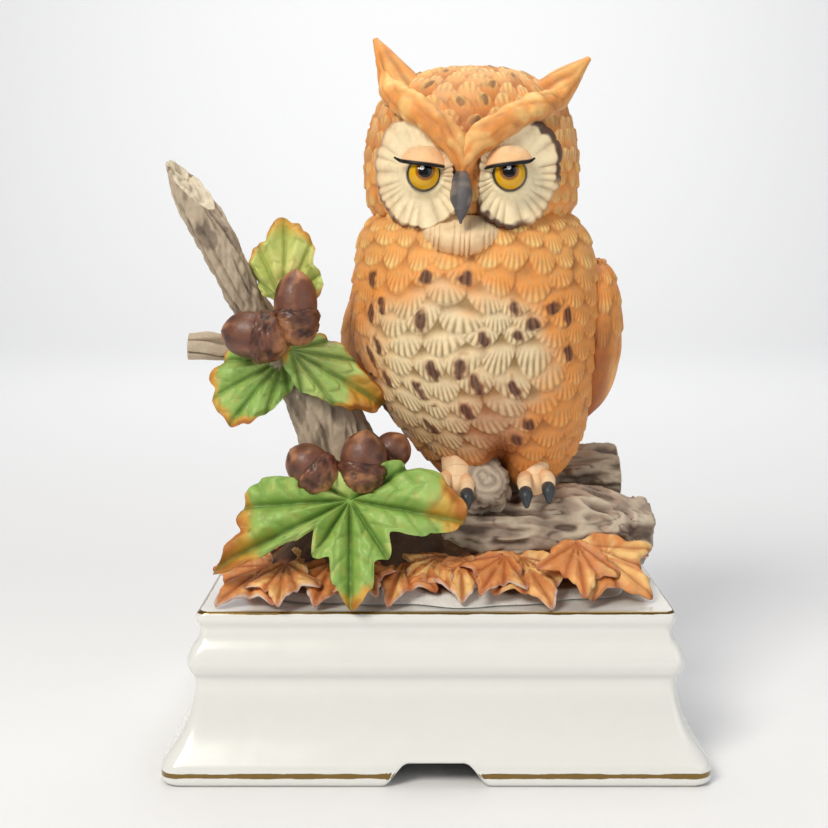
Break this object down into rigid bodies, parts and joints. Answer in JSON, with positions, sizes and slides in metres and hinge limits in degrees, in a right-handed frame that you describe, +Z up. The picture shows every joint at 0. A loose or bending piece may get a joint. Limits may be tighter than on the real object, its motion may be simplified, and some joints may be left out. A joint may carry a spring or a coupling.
{
  "type": "owl figurine",
  "caption": "Bisque porcelain owl perched on a log beside a broken branch with oak leaves and acorns, on a glazed hollow rectangular plinth.",
  "frame": {"origin": "centre of the plinth's foot, on the surface the figurine stands on", "axes": "+X to the viewer's right as the owl faces the viewer, +Y towards the back, +Z up"},
  "size_m": [0.149, 0.111, 0.203],
  "materials": {
    "glaze": "glossy white glaze",
    "earth": "matt bisque, brushed brown",
    "bark": "matt bisque, grey-brown wash",
    "palebark": "matt bisque, pale grey-brown wash",
    "russet": "matt bisque, orange to rust wash",
    "green": "matt bisque, green with orange tips",
    "limegreen": "matt bisque, yellow-green with orange tips",
    "acornnut": "semi-gloss chestnut brown",
    "acorncup": "rough brown with ochre",
    "plumage": "matt bisque, orange wash with dark streaks",
    "face": "matt bisque, cream",
    "beak": "dark grey, slight sheen",
    "iris": "glossy painted yellow with black pupil",
    "talon": "dark slate, slight sheen",
    "foot": "matt bisque, peach"
  },
  "bodies": {
    "root": {"acorn_cup_lower_left": "acorncup", "acorn_cup_lower_middle": "acorncup", "acorn_cup_lower_right": "acorncup", "acorn_cup_upper_left": "acorncup", "acorn_cup_upper_right": "acorncup", "acorn_nut_lower_left": "acornnut", "acorn_nut_lower_middle": "acornnut", "acorn_nut_lower_right": "acornnut", "acorn_nut_upper_left": "acornnut", "acorn_nut_upper_right": "acornnut", "beak": "beak", "branch": "palebark", "branch_stub": "palebark", "brow_left": "plumage", "brow_right": "plumage", "chin_tuft": "face", "ear_tuft_left": "plumage", "ear_tuft_right": "plumage", "eye_left": "iris", "eye_right": "iris", "eyelid_left": "face", "eyelid_right": "face", "face_disc_left": "face", "face_disc_right": "face", "fallen_leaf_back_left": "russet", "fallen_leaf_back_middle": "russet", "fallen_leaf_back_right": "russet", "fallen_leaf_front_centre": "russet", "fallen_leaf_front_left": "russet", "fallen_leaf_front_middle": "russet", "fallen_leaf_front_middle_left": "russet", "fallen_leaf_front_middle_right": "russet", "fallen_leaf_front_right": "russet", "fallen_leaf_left": "russet", "fallen_leaf_right": "russet", "foot_left": "foot", "foot_right": "foot", "ground_mound": "earth", "leaf_front": "green", "leaf_left": "green", "leaf_right": "limegreen", "leaf_upper": "limegreen", "log_front": "bark", "log_knot": "bark", "log_rear": "bark", "owl_body": "plumage", "owl_head": "plumage", "plinth": "glaze", "tail": "plumage", "talon_left_1": "talon", "talon_left_2": "talon", "talon_right_1": "talon", "talon_right_2": "talon", "wing_left": "plumage", "wing_right": "plumage"}
  },
  "joints": []
}
